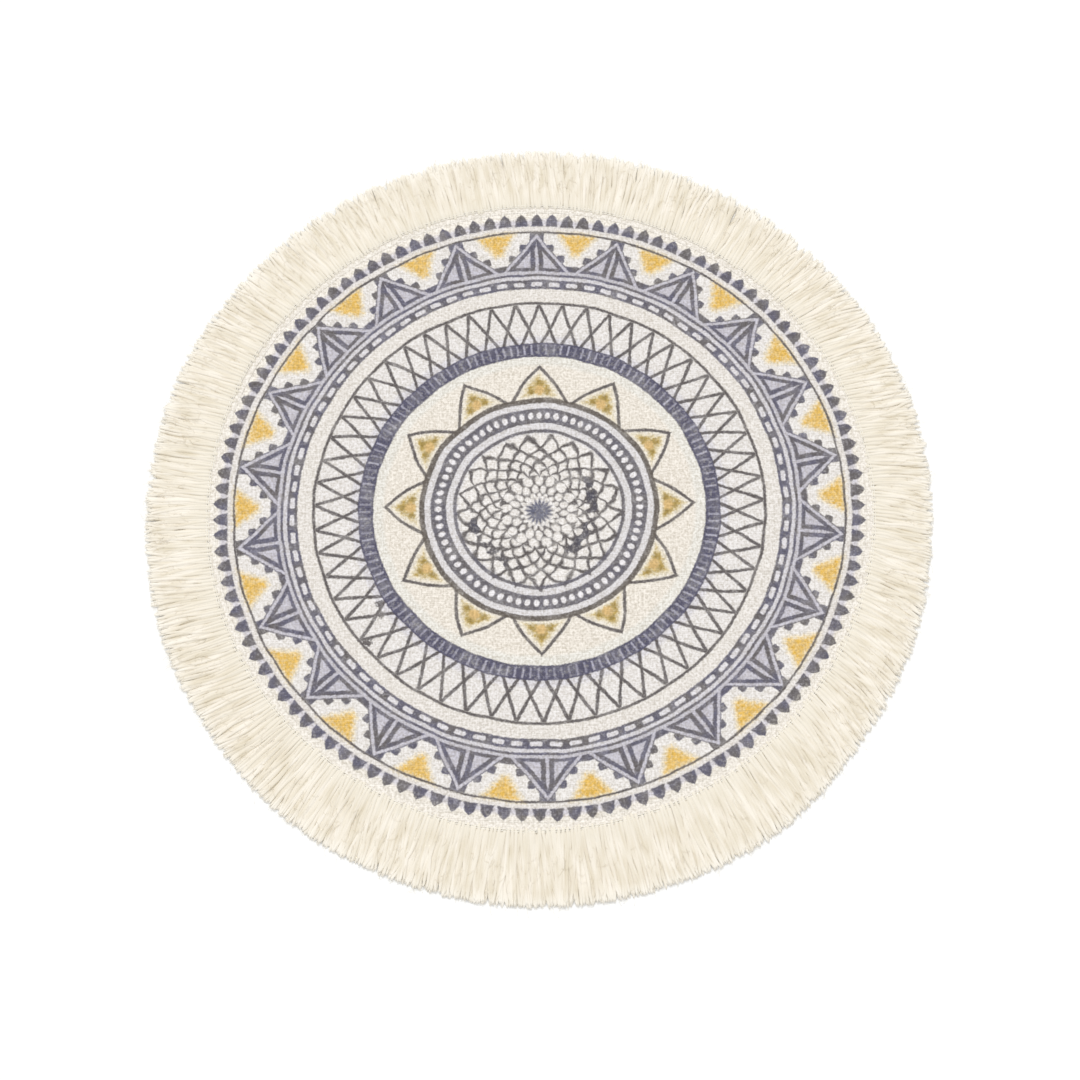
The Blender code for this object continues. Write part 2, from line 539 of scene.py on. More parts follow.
# Its petals' lines: half their width in mm, how much that grows for each mm out, how far a line shows past
# the row in front of it, how much ink fills their corners, and how sharp their edges are.
PETAL_LINE = 0.22
PETAL_LINE_GROWTH = 0.018
PETAL_LINE_OVERLAP = 0.6
PETAL_CORNER_FILL = 0.9
PETAL_SHARPNESS = 0.7
HEART_RADIUS = 5.9
HEART_RAYS = 17
HEART_RAY_HEIGHT = 0.9
HEART_SHARPNESS = 0.25

# Where the flower's ink ran, on its three o'clock side and on its eight o'clock side: from the middle out in
# mm, and round a turn, by a spread to both sides, in degrees.
Run = namedtuple("Run", "band turn_deg spread_deg")
RUNS = (
    Run(Band(23.5, 28.5), 98, 60),
    Run(Band(30.0, 34.5), -122, 45),
)
RUN_SOFTNESS = 2.5
RUN_SHARPNESS_ROUND = 4.0

# Where wet ink was touched: distance in mm, turn in degrees, and size in mm.
SMUDGES = (
    (90.3, -123.0, 1.9),
    (93.3, -126.0, 1.5),
    (106.9, -130.0, 2.4),
)
SMUDGE_SHARPNESS = 0.5

COLLAR = Band(39.7, 58.1)
COLLAR_BARE = (Band(41.4, 44.7), Band(52.5, 55.4))
BEADS_AT = 48.7
BEAD_COUNT = 71
BEAD_HALF_WIDTH = 1.3
BEAD_HALF_HEIGHT = 1.75

SUN_POINTS = 12
SUN_TIP = 74.5
SUN_FOOT = 57.0
SUN_HALF_ANGLE = math.radians(36.2)
SUN_SWELL = 0.9
SUN_SWELL_LENGTH = 22.0
SUN_LINE_WIDTH = 1.6
SUN_GOLD_INSET = 2.2
SUN_GOLD_FOOT = 59.0
# The dark dots in each point, as mm aside of its axis and mm out, and the warm one between them.
SUN_DOTS = ((0.0, 65.8), (4.0, 61.5))
SUN_DOT_RADIUS = 1.55
SUN_WARM_DOT_AT = 62.3
SUN_WARM_DOT_RADIUS = 2.45
# The ring of browner ink at the sun's foot.
BROWN_RING = Band(54.5, 60.0)

STRIPED_BAND = Band(80.2, 87.6)
STROKES = Band(81.5, 86.6)
STROKE_COUNT = 145
STROKE_HALF_WIDTH = 0.48

LATTICE = Band(87.0, 108.6)
LATTICE_POINTS = 56
LATTICE_HALF_ANGLE = math.radians(21.3)
LATTICE_LINE_WIDTH = 1.65
LATTICE_RIM = Band(108.4, 109.9)

BORDER_FOOT = Band(117.0, 125.1)
BORDER_BARE = Band(122.0, 123.8)
DASHES_AT = 119.5
DASH_COUNT = 85
DASH_HALF_LENGTH = 2.75
DASH_HALF_HEIGHT = 1.1
DASH_CORNER = 0.8

# The teeth: triangles, whose ink reaches past their sides and is cut off at their foot and top.
TOOTH_COUNT = 22
TOOTH_TIP = 146.0
TOOTH_FOOT = 126.7
TOOTH_TOP = 147.5
TOOTH_HALF_ANGLE = math.radians(37.6)
TOOTH_INK_SPREAD = 1.25
TOOTH_WASH_SPREAD = 1.0
# Square knobs with round corners on a tooth's sides, as mm aside of its axis and mm out.
TOOTH_KNOBS = ((7.2, 139.2), (12.3, 132.9))
KNOB_HALF_SIZE = 2.0
KNOB_CORNER = 1.1
# The ink that fills the valley between two teeth, and the block of ink on a tooth's tip.
VALLEY_HALF_WIDTH = 3.5
VALLEY_TOP = 129.8
BLOCK_HALF_WIDTH = 3.8
BLOCK_FOOT = 140.5
# What stays bare in a tooth: a line along its sides, a rib up its middle, and a pane to both sides of that.
SIDE_LINE_HALF_WIDTH = 0.68
RIB_HALF_WIDTH = 0.8
RIB_TIP = 142.0
RIB_TAPER = 0.2
PANE_DEPTH = 2.7
PANE_ASIDE = 3.2
PANE_FOOT = 128.5
# The gold between two teeth: a wedge with a round top, cut off below the border's line.
GOLD_TIP = 134.4
GOLD_HALF_ANGLE = math.radians(34.5)
GOLD_ROUND_AT = 146.4
GOLD_ROUND_RADIUS = 10.2
GOLD_TOP = 147.2

OUTER_LINE = Band(147.35, 148.5)

# The scallops: straight walls with a wider foot, and a dome that ends in a small point.
SCALLOP_COUNT = 121
SCALLOP_FOOT = 151.2
SCALLOP_HEIGHT = 6.7
SCALLOP_WALL = 2.2
SCALLOP_DOME = 4.3
SCALLOP_ROUNDNESS = 2.3
SCALLOP_HALF_WIDTH = 2.83
SCALLOP_FLARE = 0.45
SCALLOP_FLARE_TOP = 1.6
SCALLOP_SHARPNESS = 0.8


def ring(place, band):
    """A plain ring."""
    middle = (band.inner + band.outer) / 2
    return (band.outer - band.inner) / 2 - abs(place.radius - middle)


def from_axis(place, count, half_step=False):
    """A place as seen from the nearest of a count of evenly spaced axes: mm aside of it, and mm out."""
    steps = place.turn * (count / math.tau) + (0.5 if half_step else 0.0)
    angle = steps.back_and_forth(0.5) * (math.tau / count)
    return angle.sine() * place.radius, angle.cosine() * place.radius


def wedge(aside, drop, half_angle):
    """The depth inside a wedge, and the distance along its side, from its tip."""
    sine = math.sin(half_angle)
    cosine = math.cos(half_angle)
    return drop * sine - aside * cosine, drop * cosine + aside * sine


def pebbles(place):
    """The faint ink between the rings of bare pebbles round the flower's heart."""
    bare = []
    for number, row in enumerate(PEBBLE_RINGS):
        aside, _ = from_axis(place, PEBBLE_COUNT, half_step=number % 2 == 1)
        up = place.radius - row.at
        oval = 1.0 - length_of(aside * (1 / row.half_width), up * (1 / row.half_height))
        bare.append(oval * row.half_width)
    ground = ring(place, PEBBLE_GROUND).less_of(largest(bare) * -1.0)
    return (ground * PEBBLE_SHARPNESS).less_of(PEBBLE_INK_DEPTH)


def flower(place):
    """The middle flower: rows of petals, each half a petal round from the last and lying behind it."""
    line = place.radius * PETAL_LINE_GROWTH + PETAL_LINE
    petals = []
    behind = place.radius - FLOWER_ROWS[0].notch
    for number, row in enumerate(FLOWER_ROWS):
        steps = place.turn * (row.count / math.tau) + (0.0 if number % 2 else 0.5)
        share = steps.back_and_forth(0.5) * 2.0
        edge = row.point - (share**row.roundness) * (row.point - row.notch)
        slope = (row.point - row.notch) / (math.pi / row.count * (row.point + row.notch) / 2)
        outside = (place.radius - edge) * math.cos(math.atan(slope))
        petals.append((line - abs(outside)).less_of(behind + PETAL_LINE_OVERLAP))
        behind = outside
    return pebbles(place).more_of(softly_largest(petals, PETAL_CORNER_FILL) * PETAL_SHARPNESS)


def flower_heart(place):
    """The solid middle of the flower, which pales through short rays into the pebbles round it."""
    rays = (place.turn * HEART_RAYS).cosine()
    return (HEART_RADIUS + rays * HEART_RAY_HEIGHT - place.radius) * HEART_SHARPNESS


def run_ink(place):
    """How much the ink ran at a place."""
    amounts = []
    for run in RUNS:
        toward = (place.turn - math.radians(run.turn_deg)).cosine()
        within = toward - math.cos(math.radians(run.spread_deg))
        amount = inked(ring(place, run.band), RUN_SOFTNESS) * (within * RUN_SHARPNESS_ROUND).clamped()
        amounts.append(amount)
    return largest(amounts)


def smudges(place):
    """The few places at eight o'clock where wet ink was touched."""
    spots = []
    for distance, turn_deg, size in SMUDGES:
        aside = (place.turn - math.radians(turn_deg)) * distance
        spots.append((size - length_of(aside, place.radius - distance)) * SMUDGE_SHARPNESS)
    return largest(spots)


def collar(place):
    """The dark collar round the flower, with its bare rings and a row of bare beads."""
    aside, _ = from_axis(place, BEAD_COUNT)
    up = place.radius - BEADS_AT
    beads = length_of(aside * (1 / BEAD_HALF_WIDTH), up * (1 / BEAD_HALF_HEIGHT)) - 1.0
    bare = [ring(place, band) * -1.0 for band in COLLAR_BARE]
    return smallest([ring(place, COLLAR), beads * BEAD_HALF_WIDTH, *bare])


def sun_point(place):
    """The depth inside the sun's points, whose sides swell a little."""
    aside, out = from_axis(place, SUN_POINTS)
    depth, along = wedge(aside, SUN_TIP - out, SUN_HALF_ANGLE)
    swell = (along * (math.pi / SUN_SWELL_LENGTH)).more_of(0.0).sine()
    return depth + swell * SUN_SWELL


def sun_dots(place):
    """The three dark dots in each of the sun's points, and the warm one between them."""
    aside, out = from_axis(place, SUN_POINTS)
    to_dots = [length_of(aside - across, out - height) for across, height in SUN_DOTS]
    to_warm_dot = length_of(aside, out - SUN_WARM_DOT_AT)
    return SUN_DOT_RADIUS - smallest(to_dots), SUN_WARM_DOT_RADIUS - to_warm_dot


def strokes(place):
    """The pale strokes across the purple band."""
    aside, _ = from_axis(place, STROKE_COUNT)
    return (STROKE_HALF_WIDTH - aside).less_of(ring(place, STROKES))


def lattice(place):
    """Straight lines that fan out and cross, two from each point on the lattice's outer edge."""
    step = math.tau / LATTICE_POINTS
    angle = (place.turn * (1 / step)).back_and_forth(0.5) * step
    lines = []
    for turn in (angle, step - angle):
        aside = turn.sine() * place.radius
        drop = LATTICE.outer - turn.cosine() * place.radius
        lines.append(LATTICE_LINE_WIDTH / 2 - abs(wedge(aside, drop, LATTICE_HALF_ANGLE)[0]))
    return largest(lines).less_of(ring(place, LATTICE))


def border_foot(place):
    """The dark rings at the border's foot, with a bare ring between them and a ring of bare dashes."""
    aside, _ = from_axis(place, DASH_COUNT)
    up = place.radius - DASHES_AT
    dash = rounded_box(aside, up, DASH_HALF_LENGTH, DASH_HALF_HEIGHT, DASH_CORNER)
    return smallest([ring(place, BORDER_FOOT), dash * -1.0, ring(place, BORDER_BARE) * -1.0])


def teeth(place):
    """The border's row of teeth: their ink, and how deep inside a tooth a place lies."""
    aside, out = from_axis(place, TOOTH_COUNT)
    depth, _ = wedge(aside, TOOTH_TIP - out, TOOTH_HALF_ANGLE)
    knobs = [
        rounded_box(aside - across, out - height, KNOB_HALF_SIZE, KNOB_HALF_SIZE, KNOB_CORNER)
        for across, height in TOOTH_KNOBS
    ]
    off_valley, _ = from_axis(place, TOOTH_COUNT, half_step=True)
    valley = (VALLEY_HALF_WIDTH - off_valley).less_of(VALLEY_TOP - place.radius)
    block = (BLOCK_HALF_WIDTH - aside).less_of(place.radius - BLOCK_FOOT)
    body = largest([depth + TOOTH_INK_SPREAD, valley, block, *knobs])
    side_line = SIDE_LINE_HALF_WIDTH - abs(depth)
    rib = ((RIB_TIP - place.radius) * RIB_TAPER).less_of(RIB_HALF_WIDTH) - aside
    pane = smallest([depth - PANE_DEPTH, aside - PANE_ASIDE, place.radius - PANE_FOOT])
    bare = [side_line * -1.0, rib * -1.0, pane * -1.0]
    above_foot = place.radius - TOOTH_FOOT
    inside = (depth + TOOTH_WASH_SPREAD).less_of(above_foot)
    return smallest([body, above_foot, TOOTH_TOP - place.radius, *bare]), inside


def tooth_gold(place):
    """The gold patch between two teeth."""
    aside, out = from_axis(place, TOOTH_COUNT, half_step=True)
    side, _ = wedge(aside, out - GOLD_TIP, GOLD_HALF_ANGLE)
    round_top = GOLD_ROUND_RADIUS - length_of(aside, out - GOLD_ROUND_AT)
    return smallest([side, round_top, GOLD_TOP - place.radius])


def scallops(place):
    """The row of domed scallops round the edge of the print, each with a small point and a wider foot."""
    aside, _ = from_axis(place, SCALLOP_COUNT)
    up = place.radius - SCALLOP_FOOT
    rise = ((up - SCALLOP_WALL) * (1 / SCALLOP_DOME)).clamped()
    flare = (SCALLOP_FLARE_TOP - up).clamped() * SCALLOP_FLARE
    half_width = SCALLOP_HALF_WIDTH - SCALLOP_HALF_WIDTH * rise**SCALLOP_ROUNDNESS + flare
    return smallest([(half_width - aside) * SCALLOP_SHARPNESS, up, SCALLOP_HEIGHT - up])


def inked(depth, softness):
    """How much ink lies at a depth inside a shape: all, or none, or some across its soft edge."""
    return (depth * (1 / softness) + 0.5).clamped()


# The bare cloth's colour, ring by ring, each as far as its outer radius in mm.
Ground = namedtuple("Ground", "outer colour")
GROUNDS = (
    Ground(39.0, dye(240, 237, 235)),
    Ground(46.5, dye(226, 224, 227)),
    Ground(51.0, dye(240, 238, 242)),
    Ground(57.0, dye(226, 224, 227)),
    Ground(75.5, dye(241, 235, 226)),
    Ground(86.0, dye(237, 235, 229)),
    Ground(91.0, dye(224, 222, 228)),
    Ground(108.5, dye(236, 233, 232)),
    Ground(117.5, dye(236, 232, 228)),
    Ground(121.5, dye(227, 225, 230)),
    Ground(124.5, dye(218, 216, 222)),
    Ground(129.5, dye(203, 201, 210)),
    Ground(148.0, dye(238, 235, 233)),
    Ground(151.5, dye(234, 230, 227)),
    Ground(154.8, dye(217, 214, 222)),
    Ground(200.0, dye(246, 241, 233)),
)


def drawn_round(turn):
    """The turn on the print for a turn on the cloth, since the print lies a little round on it."""
    return turn - (turn + PRINT_SWING_FROM).cosine() * PRINT_SWING - PRINT_TURN


def bare_cloth(tree, place):
    """The colour of the unprinted cloth, from ring to ring."""
    colour = GROUNDS[0].colour
    for inner, ground in zip(GROUNDS, GROUNDS[1:]):
        past_it = inked(place.radius - inner.outer, GROUND_SOFTNESS)
        colour = blended(tree, past_it, colour, ground.colour)
    return colour


# Where a point of the cloth lies on the print: for most of its rings, for the border, and for the flower,
# which was drawn by a loose hand.
Drawn = namedtuple("Drawn", "rings border flower")

# What varies over the cloth and its print at random, as fields from 0 to 1: the grain of the ink, broader
# blots, and the height of the weave.
Texture = namedtuple("Texture", "grain blot weave")

# How far the print strays, in patches over the cloth: their width in mm, and by how much in all, in mm or,
# round the flower, in radians.
Stray = namedtuple("Stray", "width reach")
CLOTH_STRAY = Stray(18, 2.0)
INK_CREEP = Stray(1.3, 0.8)
FLOWER_STRAY_OUT = Stray(5, 3.0)
FLOWER_STRAY_ROUND = Stray(9, 0.2)
# The share of the print's straying that the weave has too.
WEAVE_STRAY_SHARE = 0.35

# The widths in mm of the soft random patches in the inks and on the cloth.
INK_GRAIN = 1.3
INK_BLOTS = 6
FADED_PATCHES = 9
WARM_PATCHES = 8
CLOTH_CLOUDS = 1.1

# How wide the soft edge of each is, in mm, and how far the gold's edges stray.
GROUND_SOFTNESS = 2.0
INK_SOFTNESS = 0.6
WASH_SOFTNESS = 1.0
GOLD_STRAY = 3.5
GOLD_DOT_STRAY = 0.4

# The pale strokes' tones change this many times for each radian round.
STROKE_TONES = 23.0
STROKE_TONE_WIDTH = 0.45


def strayed(tree, place_mm, stray, shift):
    """How far the print strays over the cloth in one direction."""
    return either_side(mottle(tree, place_mm, stray.width, shift), stray.reach)


def with_gold(tree, coloured, drawn, grain):
    """The cloth's colour with the gold of the sun and between the teeth, and the dots in the sun's points."""
    in_sun = sun_point(drawn.rings) - SUN_GOLD_INSET
    in_sun = in_sun.less_of(drawn.rings.radius - SUN_GOLD_FOOT)
    in_gold = tooth_gold(drawn.border)
    dark_dots, warm_dot = sun_dots(drawn.rings)
    edge = either_side(grain, GOLD_STRAY)
    dot_edge = edge * GOLD_DOT_STRAY
    grainy = (grain * 1.3 + 0.15).clamped()
    # Each wash: the depth inside its shape, the width of its soft edge, its strength, and its colour.
    for depth, softness, strength, colour in (
        (in_sun + edge, 2.6, 0.8, PALE_SUN_INK),
        (in_sun - 1.3 + edge, 2.2, grainy, SUN_INK),
        (in_gold + 1.1 + edge, 3.0, 0.75, PALE_GOLD_INK),
        (in_gold - 0.5 + edge, 2.4, grainy, GOLD_INK),
        (dark_dots + dot_edge, 1.8, 0.8, OLIVE_INK),
        (warm_dot + dot_edge, 1.4, 0.85, AMBER_INK),
    ):
        coloured = blended(tree, inked(depth, softness) * strength, coloured, colour)
    return coloured


def with_inks(tree, coloured, drawn, texture, place_mm):
    """The cloth's colour with the dark inks on it: thin lines, and filled areas in their own inks."""
    rings, border, flower_place = drawn
    grain_edge = either_side(texture.grain, 0.6)
    teeth_ink, in_tooth = teeth(border)
    wash = inked(in_tooth, WASH_SOFTNESS) * (texture.grain * 0.5 + 0.65)
    coloured = blended(tree, wash, coloured, LAVENDER_WASH)

    ran = run_ink(rings) * ((texture.blot - 0.4) * 5.0).clamped()
    sun_line = SUN_LINE_WIDTH / 2 - abs(sun_point(rings))
    lines = largest(
        [
            flower(flower_place) + either_side(texture.blot, 0.8) + ran * 1.3,
            sun_line.less_of(rings.radius - SUN_FOOT),
            lattice(rings) + either_side(texture.blot, 0.4),
            ring(rings, LATTICE_RIM),
            ring(rings, OUTER_LINE) + either_side(texture.blot, 0.5),
            smudges(rings) + either_side(texture.grain, 2.0),
        ]
    )
    band = ring(rings, STRIPED_BAND)
    heart = flower_heart(flower_place)
    areas = largest([heart, collar(rings), band, border_foot(border), teeth_ink, scallops(border)])

    # The ink is thinner on single grains of the cloth, in the gaps of its weave, and in faded patches.
    faded = (mottle(tree, place_mm, FADED_PATCHES, 170) - 0.45) * 0.5
    thinner = either_side(texture.grain, 0.9).clamped()
    coverage = 1.0 - thinner - (1.0 - texture.weave) * 0.05 - faded.clamped()
    line_amount = inked(lines + grain_edge, INK_SOFTNESS) * coverage
    area_amount = inked(areas + grain_edge, INK_SOFTNESS) * coverage

    stroke_tone = mottle(tree, vector_of(tree, rings.turn * STROKE_TONES), STROKE_TONE_WIDTH, 12)
    stroke_amount = inked(strokes(rings), INK_SOFTNESS) * (stroke_tone * 1.6 - 0.15).clamped()
    warmth = mottle(tree, place_mm, WARM_PATCHES, 130)
    ink = blended(tree, ((warmth - 0.38) * 4.0).clamped(), SLATE_INK, IRON_INK)
    for amount, colour in (
        (inked(ring(rings, COLLAR), WASH_SOFTNESS) * 0.6, COLLAR_INK),
        (inked(band, WASH_SOFTNESS), PURPLE_INK),
        (stroke_amount, STROKE_LAVENDER),
        (inked(ring(rings, BROWN_RING), WASH_SOFTNESS), BROWN_INK),
        (inked(heart, WASH_SOFTNESS), HEART_INK),
    ):
        ink = blended(tree, amount, ink, colour)
    coloured = blended(tree, line_amount, coloured, blended(tree, ran, LINE_INK, RUN_INK))
    return blended(tree, area_amount, coloured, ink)


def yarn_tone_and_gap_shade(tree, x, y, place_mm, weave):
    """The tone of single yarns, darker or paler at random, with painted shade that makes the gaps between
    them darker than their crowns.
    """
    warp_tone = mottle(tree, vector_of(tree, x, y * 0.3), YARN_PITCH_MM, 3)
    weft_tone = mottle(tree, vector_of(tree, x * 0.3, y), YARN_PITCH_MM, 5)
    cloud = mottle(tree, place_mm, CLOTH_CLOUDS, 150)
    # Random yarn tone, plus painted shade that darkens the weave's gaps: the last term.
    shade = (warp_tone + weft_tone) * 0.9 + cloud * 2.2 - 1.62 + (1.0 - weave) * 0.15
    return blended(tree, shade.clamped(), CROWN_TINT, GAP_SHADE)


def printed_cotton():
    """Cream plain-weave cotton, with rings of ornament printed on it in slate, grey and gold."""
    material, tree, shader = new_material("printed_cotton", CLOTH_ROUGHNESS, CLOTH_SHEEN)
    place_mm = surface_place(tree)
    x, y, _ = parts_of(tree, place_mm)

    # The cloth lay a little uneven when it was printed, and ink creeps along single yarns.
    stray_x = strayed(tree, place_mm, CLOTH_STRAY, 0) + strayed(tree, place_mm, INK_CREEP, 7)
    stray_y = strayed(tree, place_mm, CLOTH_STRAY, 40) + strayed(tree, place_mm, INK_CREEP, 17)
    print_x = x + stray_x
    print_y = y + stray_y
    low_y = print_y + FLOWER_DOWN
    rings = Place(length_of(print_x, print_y), drawn_round(clockwise_turn(print_x, print_y)))
    drawn = Drawn(
        rings=rings,
        border=Place(rings.radius, rings.turn - BORDER_TURN),
        flower=Place(
            length_of(print_x, low_y) + strayed(tree, place_mm, FLOWER_STRAY_OUT, 90),
            drawn_round(clockwise_turn(print_x, low_y)) + strayed(tree, place_mm, FLOWER_STRAY_ROUND, 95),
        ),
    )
    texture = Texture(
        grain=mottle(tree, place_mm, INK_GRAIN, 25),
        blot=mottle(tree, place_mm, INK_BLOTS, 60, detail=2),
        weave=plain_weave(x + stray_x * WEAVE_STRAY_SHARE, y + stray_y * WEAVE_STRAY_SHARE),
    )

    # Gold goes on first, then the inks over it.
    coloured = bare_cloth(tree, rings)
    coloured = with_gold(tree, coloured, drawn, texture.grain)
    coloured = with_inks(tree, coloured, drawn, texture, place_mm)
    # The yarns' random tone, with painted shade in the gaps of the weave.
    coloured = multiplied(tree, coloured, yarn_tone_and_gap_shade(tree, x, y, place_mm, texture.weave))
    tree.links.new(coloured, shader.inputs["Base Color"])
    add_weave_relief(tree, shader, place_mm, texture.weave)
    return material


def plain_cotton(name, light, dark):
    """Unprinted cotton in plain weave, for the back of the cloth."""
    material, tree, shader = new_material(name, CLOTH_ROUGHNESS, CLOTH_SHEEN)
    place_mm = surface_place(tree)
    x, y, _ = parts_of(tree, place_mm)
    warp_tone = mottle(tree, vector_of(tree, x, y * 0.1), YARN_PITCH_MM * 1.3, 3, detail=2)
    tone = ((warp_tone - 0.36) * 1.4).clamped()
    tree.links.new(blended(tree, tone, light, dark), shader.inputs["Base Color"])
    add_weave_relief(tree, shader, place_mm, plain_weave(x, y))
    return material


def fringe_cotton(name, light, dark, root):
    """Soft yarn in broad streaks of painted shade: each strand in its own tone, deeper at its root, and paler
    at its tip with painted light.
    """
    material, tree, shader = new_material(name, YARN_ROUGHNESS, YARN_SHEEN)
    place_mm = surface_place(tree)
    x, y, _ = parts_of(tree, place_mm)
    radius = length_of(x, y)
    strand = tree.nodes.new("ShaderNodeNewGeometry")
    own_tone = Field(tree, strand.outputs["Random Per Island"])
    along = tree.nodes.new("ShaderNodeAttribute")
    along.attribute_name = SHARE_NAME
    share = Field(tree, along.outputs["Fac"])
    fluff = mottle(tree, place_mm, FLUFF_WIDTH_MM, 11)
    around = clockwise_turn(x, y) * STREAK_MEASURED_AT_MM
    painted_streak_shade = mottle(tree, vector_of(tree, around, radius * STREAK_DRAWN_OUT), STREAK_WIDTH_MM, 33)
    cloud = mottle(tree, place_mm, YARN_CLOUD_WIDTH_MM, 51)
    # The streaks are painted shade between tufts. Each strand's own tone, the fluff and the cloud are the
    # yarn's own colour.
    tone = own_tone * 0.34 + fluff * 0.3 + (painted_streak_shade - 0.5) * 2.0 + cloud * 0.5 - 0.12
    colour = blended(tree, tone.clamped(), light, dark)
    near_root = ((ROOT_TINT_TO - share) * TINT_SHARPNESS).clamped()
    near_tip = ((share - TIP_LIGHT_FROM) * TINT_SHARPNESS).clamped()
    colour = blended(tree, near_root * TINT_STRENGTH, colour, root)
    # Painted light: the tips are paled toward a light cream, against the shade that falls on them.
    colour = blended(tree, near_tip * TINT_STRENGTH, colour, THREAD_CREAM_AND_TIP_LIGHT)
    tree.links.new(colour, shader.inputs["Base Color"])
    add_bump(tree, shader, fluff, FLUFF_DEPTH_MM, FLUFF_STRENGTH)
    return material


def floor_white():
    material, _, shader = new_material("floor_white", 0.9)
    shader.inputs["Base Color"].default_value = FLOOR_WHITE
    return material


# --- Shapes ----------------------------------------------------------------------------------------------


def outward(turn, distance):
    """The point at a distance from the middle, at an angle clockwise from +Y."""
    return distance * math.sin(turn), distance * math.cos(turn)


def rim_wave(turn):
    """How far the cut edge stands off a true circle at an angle."""
    return sum(
        wave.height * math.cos(wave.count * turn + math.radians(wave.start_deg))
        for wave in RIM_WAVES
    )


def lie_of_cloth(x, y):
    """How much the cloth rises or sinks at a place, as it lies on the table."""
    return sum(
        swell.height * noise.noise(Vector((x / swell.width, y / swell.width, swell.seed)))
        for swell in (BROAD_SWELL, SMALL_SWELL)
    )


def fringe_at(turn):
    """The fringe's reach, lean and raggedness at an angle, eased between the hours of its table."""
    hours = turn % math.tau / math.tau * len(FRINGE_AT_HOUR)
    before = FRINGE_AT_HOUR[int(hours) or 12]
    after = FRINGE_AT_HOUR[int(hours) + 1]
    share = hours % 1
    share = share * share * (3 - 2 * share)
    reach, lean_deg, ragged = [near + share * (far - near) for near, far in zip(before, after)]
    return reach, math.radians(lean_deg), ragged


def add_piece(name, shape, materials, smooth=True):
    """A finished bmesh as an object of its own, at the origin."""
    mesh = bpy.data.meshes.new(name)
    shape.to_mesh(mesh)
    shape.free()
    for material in materials:
        mesh.materials.append(material)
    if smooth:
        mesh.shade_smooth()
    piece = bpy.data.objects.new(name, mesh)
    bpy.context.scene.collection.objects.link(piece)
    return piece


def turned(profile, steps, closed):
    """A bmesh of a profile, given as (distance, height), spun once round the middle."""
    shape = bmesh.new()
    points = [shape.verts.new((distance, 0.0, height)) for distance, height in profile]
    edges = [shape.edges.new(pair) for pair in zip(points, points[1:])]
    if closed:
        edges.append(shape.edges.new((points[-1], points[0])))
    bmesh.ops.spin(
        shape,
        geom=points + edges,
        cent=(0, 0, 0),
        axis=(0, 0, 1),
        angle=math.tau,
        steps=steps,
        use_merge=True,
    )
    bmesh.ops.remove_doubles(shape, verts=shape.verts, dist=CLOTH_WELD)
    bmesh.ops.recalc_face_normals(shape, faces=shape.faces)
    return shape


def cloth(printed, back):
    """The round cloth with rounded cut edge, lying not quite flat, printed on its upper side."""
    bottom = CLOTH_TOP - CLOTH_THICKNESS
    middle = CLOTH_TOP - CLOTH_THICKNESS / 2
    half = CLOTH_THICKNESS / 2
    flat_radius = CLOTH_RADIUS - CLOTH_ROUNDING
    top = [(flat_radius * step / CLOTH_STEPS_OUT, CLOTH_TOP) for step in range(CLOTH_STEPS_OUT + 1)]
    edge = [
        (flat_radius + CLOTH_ROUNDING * math.sin(angle), middle + half * math.cos(angle))
        for angle in (math.pi / CLOTH_STEPS_EDGE * step for step in range(1, CLOTH_STEPS_EDGE))
    ]
    under = [(distance, bottom) for distance, _ in reversed(top[::CLOTH_RINGS_UNDER])]
    shape = turned([*top, *edge, *under], CLOTH_STEPS_ROUND, closed=False)
    for vert in shape.verts:
        x, y, _ = vert.co
        distance = math.hypot(x, y)
        stretch = 1.0 + rim_wave(math.atan2(x, y)) / CLOTH_RADIUS * (distance / CLOTH_RADIUS) ** 2
        vert.co.x *= stretch
        vert.co.y *= stretch
        vert.co.z += lie_of_cloth(x, y)
    for face in shape.faces:
        faces_up = face.normal.z > 0.2
        face.material_index = 0 if faces_up else 1
    return add_piece("cloth", shape, [printed, back])


def heading(printed):
    """The woven heading: a flat band that carries on the cloth's face, under the roots of the yarns."""
    width = HEADING_OUTER - HEADING_INNER
    inner_wall = CLOTH_RADIUS + 0.8 * MM
    foot = 0.05 * MM
    profile = [
        (HEADING_INNER, CLOTH_TOP - 0.01 * MM),
        (HEADING_INNER + 0.08 * width, CLOTH_TOP + 0.03 * MM),
        (HEADING_INNER + 0.30 * width, HEADING_TOP),
        (HEADING_INNER + 0.45 * width, HEADING_TOP),
        (HEADING_INNER + 0.70 * width, HEADING_TOP - 0.15 * MM),
        (HEADING_INNER + 0.90 * width, HEADING_TOP - 0.50 * MM),
        (HEADING_OUTER, HEADING_TOP - 0.95 * MM),
        (HEADING_OUTER, 0.30 * MM),
        (HEADING_OUTER - 0.10 * width, foot),
        (inner_wall, foot),
        (inner_wall, HEADING_TOP - 0.40 * MM),
    ]
    shape = turned(profile, CLOTH_STEPS_ROUND, closed=True)
    for vert in shape.verts:
        x, y, height = vert.co
        vert.co.z += lie_of_cloth(x, y) * height / HEADING_TOP
        stretch = 1.0 + rim_wave(math.atan2(x, y)) / CLOTH_RADIUS
        vert.co.x *= stretch
        vert.co.y *= stretch
    return add_piece("heading", shape, [printed])


def strand_section(half_width, half_height, sides):
    """The outline across a strand, wider than it is high."""
    curve = bpy.data.curves.new("section", "CURVE")
    curve.dimensions = "2D"
    spline = curve.splines.new("POLY")
    spline.points.add(sides - 1)
    for number, point in enumerate(spline.points):
        angle = math.tau * number / sides
        point.co = (half_width * math.cos(angle), half_height * math.sin(angle), 0.0, 1.0)
    spline.use_cyclic_u = True
    section = bpy.data.objects.new("section", curve)
    bpy.context.scene.collection.objects.link(section)
    return section


